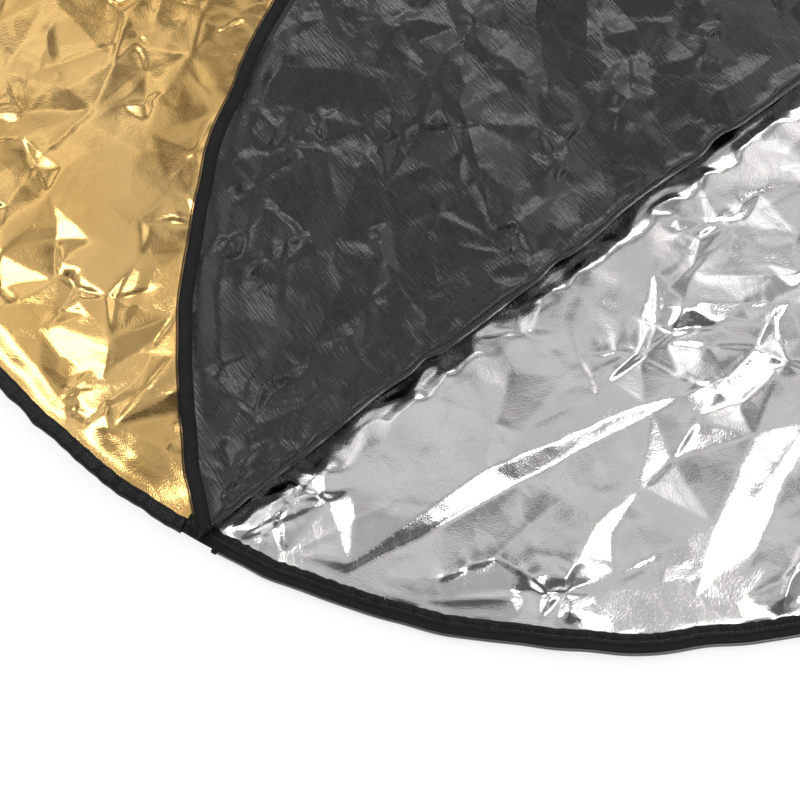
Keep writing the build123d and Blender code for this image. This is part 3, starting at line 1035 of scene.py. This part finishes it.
def around(start, stop, step):
    return np.linspace(start, stop, int((stop - start) * RIM / step) + 1)


def split_angles(start, stop, step):
    """Angles on the fixed part before the fold, on the flap, and on the fixed part after it."""
    cut = math.acos(ROLL_MIDDLE / (RIM - COIL - TAPE / 2))
    first, second = HEADING - cut, HEADING + cut
    return around(start, first, step), around(first, second, step), around(second, stop, step)


STITCH_RADIUS = BINDING_IN + 4.9 * MM
STITCH_HEIGHT = HALF_PLY + 0.75 * MM
PUCKER_STEP = 1.3 * MM
lower_pieces = [
    ribbon("lower_zip_tape_cloth", around(ZIP_START, ZIP_END, 2 * MM), tape_section, lower_place,
           TAPE_CLOTH),
    coil("lower_zip_teeth", TEETH_START, TEETH_END, lower_place, 1, NYLON),
    ribbon("silver_edge_ruffle", around(ZIP_START, ZIP_END, PUCKER_STEP), edge_binding(31, HALF_PLY, 1),
           lower_place, BINDING),
    ribbon("white_edge_ruffle", around(ZIP_START, ZIP_END, PUCKER_STEP), edge_binding(41, -HALF_PLY, -1),
           lower_place, BINDING),
    ribbon("seam_bias_binding", around(ZIP_END, ZIP_START + 2 * math.pi, 1.8 * MM), seam_section,
           lower_place, BINDING),
]
for piece, node_name in zip(lower_pieces, ("lower_zip_tape", "lower_zip_coil", "silver_edge_binding",
                                           "white_edge_binding", "seam_binding")):
    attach(piece, "cover")
    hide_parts(node_name)

silver_stitches = stitches(
    "silver_edge_stitches", ZIP_START, ZIP_END, STITCH_RADIUS, STITCH_HEIGHT, lower_place, THREAD)
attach(silver_stitches, "cover")
seam_stitches = stitches(
    "seam_stitches", ZIP_END, ZIP_START + 2 * math.pi, RIM - 6.6 * MM,
    UPPER_Z - LOWER_Z + PLY + 0.75 * MM, lower_place, THREAD)
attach(seam_stitches, "cover")

tape_parts = split_angles(ZIP_START, ZIP_END, 1.6 * MM)
binding_parts = split_angles(ZIP_START, ZIP_END, PUCKER_STEP)
gold_binding = edge_binding(51, HALF_PLY, 1)
for label, index, flap in (("near", 0, False), ("flap", 1, True), ("far", 2, False)):
    tape = ribbon(f"{label}_upper_zip_tape", tape_parts[index], tape_section, upper_place,
                  TAPE_CLOTH)
    bend(tape, flap)
    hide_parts(*(("flap_zip_tape", "fold_zip_tape") if flap else ("upper_zip_tape",)))
    edge = ribbon(f"{label}_gold_edge_ruffle", binding_parts[index], gold_binding, upper_place,
                  BINDING)
    bend(edge, flap)
    bound = ("flap_gold_edge_binding", "fold_gold_edge_binding") if flap else ("gold_edge_binding",)
    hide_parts(*bound)
    sewn = stitches(f"{label}_gold_edge_stitches", binding_parts[index][0], binding_parts[index][-1],
                    STITCH_RADIUS, STITCH_HEIGHT, upper_place, THREAD)
    bend(sewn, flap)

cut_angle = math.acos(ROLL_MIDDLE / (RIM - COIL / 2))
flap_teeth = coil("flap_zip_teeth", TEETH_START, HEADING + cut_angle, upper_place, -1, NYLON)
bend(flap_teeth, True)
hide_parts("flap_zip_coil", "fold_zip_coil")
far_teeth = coil("far_upper_zip_teeth", HEADING + cut_angle, TEETH_END, upper_place, -1, NYLON)
bend(far_teeth, False)
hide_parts("upper_zip_coil")


# ---------------------------------------------------------------- framed diffuser

HEM_MID = HEM_TOP / 2
HEM_IN = HEM_R - 14 * MM
FULL_TURN = np.linspace(0, 2 * math.pi, 1500)


def hem_section(angles):
    """The hem's bias tape round the hoop: full at the hoop, flat where it grips the diffuser."""
    points = [
        *from_place(HEM_IN, HEM_MID, (0, 0.4), (0.2, 1.0), (3, 1.1), (5.5, 1.0)),
        *from_place(HEM_R, HEM_TOP, (-4.5, -0.15), (-1.0, -0.1), (0, -1.0)),
        *from_place(HEM_R, 0.0, (0, 1.0), (-1.0, 0), (-4.5, 0)),
        *from_place(HEM_IN, HEM_MID, (5.5, -1.0), (3, -1.1), (0.2, -1.0), (0, -0.4)),
    ]
    radii, heights = rows_of(points, angles)
    waves = (131, 197, 263, 331, 397)       # whole numbers round the hem, so that it closes
    rng = np.random.default_rng(61)
    pucker = sum(np.sin(n * angles + rng.uniform(0, 6.28)) for n in waves)[:, None] / 2.2
    loose = smooth((HEM_R - 2 * MM - radii) / (8 * MM))
    side = np.sign(heights - HEM_MID)
    return radii - 0.35 * MM * loose * pucker, heights + 0.22 * MM * side * loose * pucker


def flat_place(angles, radii, heights):
    return np.stack([radii * np.cos(angles), radii * np.sin(angles), heights], -1)


hem = ribbon("diffuser_hem_tape", FULL_TURN, hem_section, flat_place, BINDING)
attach(hem, "frame")
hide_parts("diffuser_hem")

SPOKES = 720
rings = np.linspace(0.5 * MM, HEM_IN + 3 * MM, 150)
spokes = np.linspace(0, 2 * math.pi, SPOKES, endpoint=False)
ring_grid, spoke_grid = np.meshgrid(rings, spokes, indexing="ij")
tight = smooth((ring_grid - 400 * MM) / (110 * MM))
ripple = 0.22 * MM * tight * (np.sin(97 * spoke_grid) + 0.6 * np.sin(151 * spoke_grid + 1.3))
cloth_points = flat_place(spoke_grid, ring_grid, HEM_MID + ripple).reshape(-1, 3)
cloth_faces = tube_faces(len(rings), SPOKES)[:, [0, 3, 2, 1]]
centre = np.arange(SPOKES)[None, :]
diffuser = new_piece("diffuser_cloth_panel", cloth_points, [cloth_faces, centre], DIFFUSER)
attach(diffuser, "frame")
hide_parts("diffuser_panel")

# ---------------------------------------------------------------- finishes of the CAD pieces

CAD_FINISH = {
    "slider_body": ENAMEL, "slider_bridge": ENAMEL, "pull_tab": ENAMEL, "hoop_band": STEEL,
    "hoop_ferrule": STOPS, "lower_top_stop": BLACKENED, "flap_top_stop": BLACKENED,
    "bottom_stop": BLACKENED,
}
for node_name, finish in CAD_FINISH.items():
    cad = frame["nodes"][node_name]
    cad.data.materials.clear()
    cad.data.materials.append(finish)


# ---------------------------------------------------------------- studio

FLOOR_HALF = 80
floor_mesh = bpy.data.meshes.new("floor")
corners = [(FLOOR_HALF * a, FLOOR_HALF * b, 0) for a, b in ((-1, -1), (1, -1), (1, 1), (-1, 1))]
floor_mesh.from_pydata(corners, [], [(0, 1, 2, 3)])
floor = bpy.data.objects.new("floor", floor_mesh)
bpy.context.scene.collection.objects.link(floor)
floor.location.z = CAD_BOX[0][2] - 0.1 * MM


def seen_directly(tree):
    """1 for what the camera sees itself, in a mirror or through glass."""
    path = node(tree, "ShaderNodeLightPath", {})
    first = maths(tree, "MAXIMUM", path.outputs["Is Camera Ray"], path.outputs["Is Glossy Ray"])
    return maths(tree, "MAXIMUM", first, path.outputs["Is Transmission Ray"])


def floor_paint(tree):
    """White paper that partly glows to the eye, so that it is white and keeps soft shadows."""
    shader = tree.nodes["Principled BSDF"]
    glow = node(tree, "ShaderNodeEmission", {"Color": (1, 1, 1, 1), "Strength": 1.2})
    share = maths(tree, "MULTIPLY", seen_directly(tree), 0.65)
    both = node(tree, "ShaderNodeMixShader", {0: share, 1: shader.outputs[0], 2: glow.outputs[0]})
    connect(tree, tree.nodes["Material Output"], {"Surface": both.outputs[0]})
    return {"Base Color": (0.92, 0.92, 0.92, 1), "Roughness": 0.9, "Specular IOR Level": 0.0}


floor_mesh.materials.append(material("floor_paint", floor_paint))

EYE_DISTANCE = 0.85
EYE_ELEVATION = math.radians(71.6)
LOOK_AT = Vector((-0.1384, -0.3849, 0.004))
LENS, SENSOR = 58.5, 36.0

camera_data = bpy.data.cameras.new("camera")
camera_data.lens = LENS
camera_data.sensor_width = SENSOR
camera = bpy.data.objects.new("camera", camera_data)
away = Vector((0, -math.cos(EYE_ELEVATION), math.sin(EYE_ELEVATION)))
camera.location = LOOK_AT + EYE_DISTANCE * away
camera.rotation_euler = (math.pi / 2 - EYE_ELEVATION, 0, 0)
bpy.context.scene.collection.objects.link(camera)
bpy.context.scene.camera = camera


def direction_of(azimuth, elevation):
    """The direction of a place in the studio, from two angles in degrees."""
    a, e = math.radians(azimuth), math.radians(elevation)
    return Vector((math.cos(e) * math.cos(a), math.cos(e) * math.sin(a), math.sin(e)))


def softbox(name, azimuth, elevation, distance, width, height, radiance):
    """An area lamp that faces the middle of the object; radiance is what it looks like in a mirror."""
    lamp = bpy.data.lights.new(name, "AREA")
    lamp.shape = "RECTANGLE"
    lamp.size, lamp.size_y = width, height
    lamp.energy = radiance * math.pi * width * height
    holder = bpy.data.objects.new(name, lamp)
    towards = direction_of(azimuth, elevation)
    holder.location = Vector((-0.1, -0.3, 0)) + distance * towards
    holder.rotation_euler = towards.to_track_quat("Z", "Y").to_euler()
    bpy.context.scene.collection.objects.link(holder)


softbox("left_overhead", 166, 56, 2.6, 0.5, 1.3, 4.0)
softbox("right_overhead", 8, 56, 2.6, 0.42, 1.1, 4.0)
softbox("top_right", -23, 70, 2.6, 0.44, 0.44, 4.0)
softbox("far_wall", 82, 32, 3.0, 1.8, 0.5, 3.6)
softbox("near_floor", 262, 28, 3.0, 1.6, 0.5, 3.0)

studio = bpy.data.worlds.new("studio")
studio.use_nodes = True
bpy.context.scene.world = studio
tree = studio.node_tree
direction = node(tree, "ShaderNodeTexCoord", {}).outputs["Generated"]
parts = node(tree, "ShaderNodeSeparateXYZ", {0: direction}).outputs
upward, backward = parts["Z"], parts["Y"]


def sine(degrees):
    return math.sin(math.radians(degrees))


# Pale walls behind and in front, dark walls at the sides, a darker shelf round them, and the ceiling.
CEILING, FAR_WALL, NEAR_WALL, SIDE_WALLS, SHELF, FAR_FLOOR = 0.42, 0.90, 1.0, 0.26, 0.45, 0.97
walls = ramp(tree, backward, 0.08, 0.38, SIDE_WALLS, FAR_WALL)
walls = maths(tree, "ADD", walls, ramp(tree, backward, -0.72, -0.45, NEAR_WALL - SIDE_WALLS, 0.0))
level = ramp(tree, upward, sine(53), sine(60), walls, CEILING)
level = maths(tree, "MULTIPLY", level, ramp(tree, upward, sine(18), sine(26), SHELF, 1.0))
# Darker and paler parts of the room: azimuth, elevation, radius, soft edge, how bright against its place.
PATCHES = [
    (-88, 64, 17, 7, 0.2), (116, 38, 7, 5, 0.3), (72, 51, 6, 3, 0.6), (140, 40, 6, 4, 0.35),
    (53, 59, 6, 3, 1.3), (122, 62, 5, 2, 1.35), (102, 46, 4, 2, 0.5), (84, 62, 4, 3, 0.75),
    (88, 51, 10, 4, 0.55), (-30, 45, 10, 6, 0.5), (100, 78, 5, 3, 1.25),
]
for azimuth, elevation, radius, edge, share in PATCHES:
    way = tuple(direction_of(azimuth, elevation))
    facing = node(tree, "ShaderNodeVectorMath", {0: direction, 1: way}, operation="DOT_PRODUCT")
    inner, outer = math.cos(math.radians(radius)), math.cos(math.radians(radius + edge))
    level = maths(tree, "MULTIPLY", level, ramp(tree, facing.outputs["Value"], outer, inner, 1.0, share))
# The room is never one even tone.
level = maths(tree, "MULTIPLY", level, ramp(tree, noise(tree, direction, 5.0, 2), 0.34, 0.66, 0.70, 1.50))
# Low down, the room is as white as the far floor.
high = ramp(tree, upward, sine(9), sine(13), 0.0, 1.0)
level = maths(tree, "ADD", maths(tree, "MULTIPLY", level, high),
              maths(tree, "MULTIPLY", maths(tree, "SUBTRACT", 1.0, high), FAR_FLOOR))
connect(tree, tree.nodes["Background"], {"Color": (1, 1, 1, 1), "Strength": level})

bpy.context.scene.view_settings.view_transform = "Standard"
